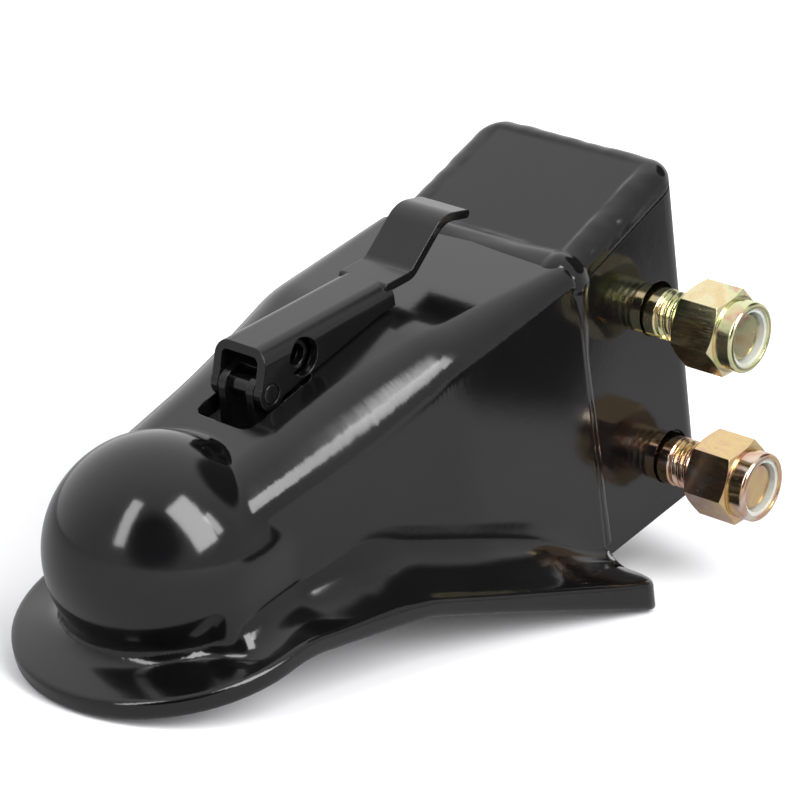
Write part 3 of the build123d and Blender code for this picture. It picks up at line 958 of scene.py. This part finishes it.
def floorMaterial():
    material, tree = newMaterial("paleFloor")
    behind = tree.node("ShaderNodeNewGeometry", None, None, "Backfacing")
    spot = tree.node("ShaderNodeNewGeometry", None, None, "Position")
    # reflections see the floor in a painted darker grey, painted near-black in that zone: painted
    # reflection shade
    paintedReflectionShade = tree.mix(paintedDarkReflectionZone(tree, spot), stageSet["paintedReflectionShade"], stageSet["paintedDarkReflection"])
    colour = tree.mix(tree.lightPath("Is Glossy Ray"), stageSet["white"], paintedReflectionShade)
    matte = tree.node("ShaderNodeBsdfDiffuse", None, {"Color": colour})
    reach = tree.vector("LENGTH", spot, None, "Value")
    lift = stageSet["lift"] + tree.band(reach, *stageSet["farFrom"]) * stageSet["farLift"]
    strength = tree.lightPath("Is Camera Ray") * lift
    glow = tree.node("ShaderNodeEmission", None, {"Strength": strength})
    lit = tree.node("ShaderNodeAddShader", None, {0: matte, 1: glow})
    clear = tree.node("ShaderNodeBsdfTransparent")
    close(tree, tree.node("ShaderNodeMixShader", None, {0: behind, 1: lit, 2: clear}))
    return material


def addFloor():
    form = bmesh.new()
    turn = Matrix.Rotation(-math.radians(stageSet["tilt"]), 4, "X")
    bmesh.ops.create_circle(
        form, cap_ends=True, segments=stageSet["segments"], radius=stageSet["reach"],
        matrix=Matrix.Translation(stageSet["front"]) @ turn,
    )
    mesh = bpy.data.meshes.new("paleFloor")
    form.to_mesh(mesh)
    form.free()
    mesh.materials.append(floorMaterial())
    made = bpy.data.objects.new("paleFloor", mesh)
    scene.collection.objects.link(made)


worldSet = {
    "overhead": 0.85,
    "low": 0.07,
    "overheadBand": (-0.05, 0.6),
    "sides": 0.62,
    "backdrop": (-136, 28),
    "backdropSpread": (95, 20),
    "backdropLift": 0.55,
    "darkSides": [((44, 38), (36, 17), 0.97), ((168, 22), (25, 18), 0.92)],
}


def addWorld():
    world = bpy.data.worlds.new("studio")
    world.use_nodes = True
    scene.world = world
    tree = Tree(world.node_tree)
    ray = tree.node("ShaderNodeTexCoord", None, None, "Generated")
    wall = tree.patch(ray, worldSet["backdrop"], worldSet["backdropSpread"])
    tone = worldSet["sides"] + wall * worldSet["backdropLift"]
    for toward, spread, depth in worldSet["darkSides"]:
        tone = tone * (1 - tree.patch(ray, toward, spread) * depth)
    rise = tree.band(tree.axis(ray, "Z"), *worldSet["overheadBand"])
    ambient = worldSet["low"] + rise * (worldSet["overhead"] - worldSet["low"])
    glossy = tree.lightPath("Is Glossy Ray")
    shown = tree.lightPath("Is Camera Ray") + tree.lightPath("Is Transmission Ray")
    other = 1 - shown - glossy
    strength = shown + glossy * tone + other * ambient
    sky = tree.node("ShaderNodeBackground", None, {"Color": (1, 1, 1, 1), "Strength": strength})
    tree.node("ShaderNodeOutputWorld", None, {"Surface": sky})


lampSet = [
    {"name": "rightBox", "toward": (96, 40), "away": 1.2, "size": (0.54, 1.12), "radiance": 9.5},
    {"name": "sideBox", "toward": (114, 27), "away": 1.2, "size": (0.16, 0.44), "radiance": 8.5},
    {"name": "frontBox", "toward": (3, 52), "away": 1.2, "size": (0.22, 0.95), "radiance": 8.0},
]
lampAim = Vector((0, 0.05, 0))


def addLamps():
    for lamp in lampSet:
        wide, tall = lamp["size"]
        light = bpy.data.lights.new(lamp["name"], "AREA")
        light.shape = "RECTANGLE"
        light.size, light.size_y = wide, tall
        light.energy = lamp["radiance"] * math.pi * wide * tall
        holder = bpy.data.objects.new(lamp["name"], light)
        direction = heading(*lamp["toward"])
        holder.matrix_world = (
            Matrix.Translation(lampAim + direction * lamp["away"])
            @ direction.to_track_quat("Z", "Y").to_matrix().to_4x4()
        )
        holder.visible_camera = False
        scene.collection.objects.link(holder)


addFloor()
addWorld()
addLamps()
print("studio set")
